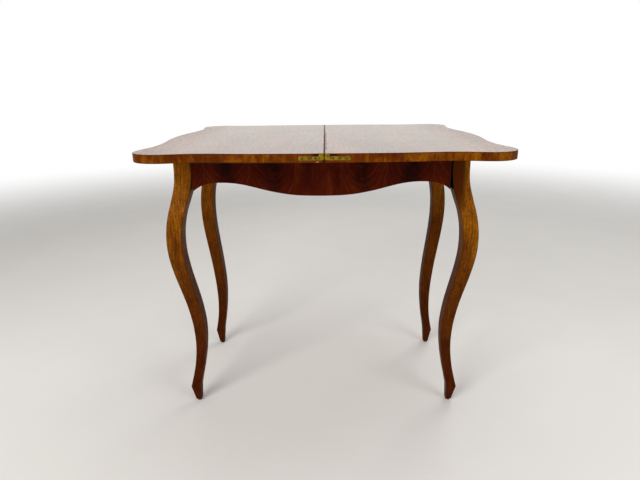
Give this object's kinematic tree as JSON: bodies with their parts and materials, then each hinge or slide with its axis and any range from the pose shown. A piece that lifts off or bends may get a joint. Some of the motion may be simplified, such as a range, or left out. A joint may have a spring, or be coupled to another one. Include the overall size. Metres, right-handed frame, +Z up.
{
  "type": "fold-over game table",
  "caption": "Walnut game table with bowed cabriole legs and a shaped top that folds in half on edge hinges and swivels a quarter turn over a card well.",
  "frame": {"origin": "on the floor under the middle of the open top, which stands 8 mm to the right of the frame's middle and 10 mm behind it, as in the picture", "axes": "+X right along the long side of the frame, +Y to the back, +Z up, seen from the front"},
  "size_m": [0.832, 0.773, 0.74],
  "materials": {
    "leaf_veneer": "french polished walnut veneer, reddish brown, fine straight grain",
    "edge_banding": "polished cross-grain walnut banding, warm orange brown",
    "apron_veneer": "polished dark figured veneer laid in upright sheets",
    "leg_walnut": "polished solid walnut, golden brown with dark flecks, darker towards the feet",
    "carcass_pine": "bare aged pine, never polished",
    "brass": "aged dull brass",
    "iron": "dark oxidised iron"
  },
  "bodies": {
    "frame": {"leg_front_left": "leg_walnut", "leg_front_right": "leg_walnut", "leg_rear_left": "leg_walnut", "leg_rear_right": "leg_walnut", "glide_front_left": "iron", "glide_front_right": "iron", "glide_rear_left": "iron", "glide_rear_right": "iron", "front_apron": "carcass_pine", "rear_apron": "carcass_pine", "left_apron": "carcass_pine", "right_apron": "carcass_pine", "front_apron_veneer": "apron_veneer", "rear_apron_veneer": "apron_veneer", "left_apron_veneer": "apron_veneer", "right_apron_veneer": "apron_veneer", "pivot_rail": "carcass_pine", "well_partition": "carcass_pine", "well_bottom": "carcass_pine", "well_ledge_rear": "carcass_pine", "well_ledge_front": "carcass_pine", "glue_block_front_left": "carcass_pine", "glue_block_front_right": "carcass_pine", "glue_block_rear_left": "carcass_pine", "glue_block_rear_right": "carcass_pine"},
    "lower_leaf": {"lower_leaf_core": "carcass_pine", "lower_leaf_banding": "edge_banding", "lower_leaf_playing_veneer": "leaf_veneer", "lower_leaf_rear_hinge_strap": "brass", "lower_leaf_rear_hinge_pin": "iron", "lower_leaf_rear_hinge_screw_1": "iron", "lower_leaf_rear_hinge_screw_2": "iron", "lower_leaf_rear_hinge_screw_3": "iron", "lower_leaf_front_hinge_strap": "brass", "lower_leaf_front_hinge_pin": "iron", "lower_leaf_front_hinge_screw_1": "iron", "lower_leaf_front_hinge_screw_2": "iron", "lower_leaf_front_hinge_screw_3": "iron", "pivot_plate": "iron", "pivot_bolt": "iron", "pivot_washer": "iron", "pivot_nut": "iron", "swivel_stop": "leg_walnut"},
    "hinge_links": {"rear_hinge_link": "brass", "front_hinge_link": "brass"},
    "upper_leaf": {"upper_leaf_core": "carcass_pine", "upper_leaf_banding": "edge_banding", "upper_leaf_playing_veneer": "leaf_veneer", "upper_leaf_outer_veneer": "leaf_veneer", "upper_leaf_rear_hinge_strap": "brass", "upper_leaf_rear_hinge_pin": "iron", "upper_leaf_rear_hinge_screw_1": "iron", "upper_leaf_rear_hinge_screw_2": "iron", "upper_leaf_rear_hinge_screw_3": "iron", "upper_leaf_front_hinge_strap": "brass", "upper_leaf_front_hinge_pin": "iron", "upper_leaf_front_hinge_screw_1": "iron", "upper_leaf_front_hinge_screw_2": "iron", "upper_leaf_front_hinge_screw_3": "iron"}
  },
  "joints": [
    {"name": "top_swivel", "type": "hinge", "parent": "frame", "child": "lower_leaf", "pos_m": [0.095, 0.103, 0.7207], "axis": [0, 0, 1], "range_deg": [-90, 0]},
    {"name": "leaf_fold", "type": "hinge", "parent": "lower_leaf", "child": "upper_leaf", "pos_m": [0, 0, 0.74015], "axis": [0, 1, 0], "range_deg": [0, 180]},
    {"name": "link_turn", "type": "hinge", "parent": "lower_leaf", "child": "hinge_links", "pos_m": [0.00275, 0, 0.7374], "axis": [0, 1, 0], "range_deg": [0, 90]}
  ],
  "couplings": [
    {"joint": "link_turn", "follows": "leaf_fold", "ratio": 0.5}
  ]
}
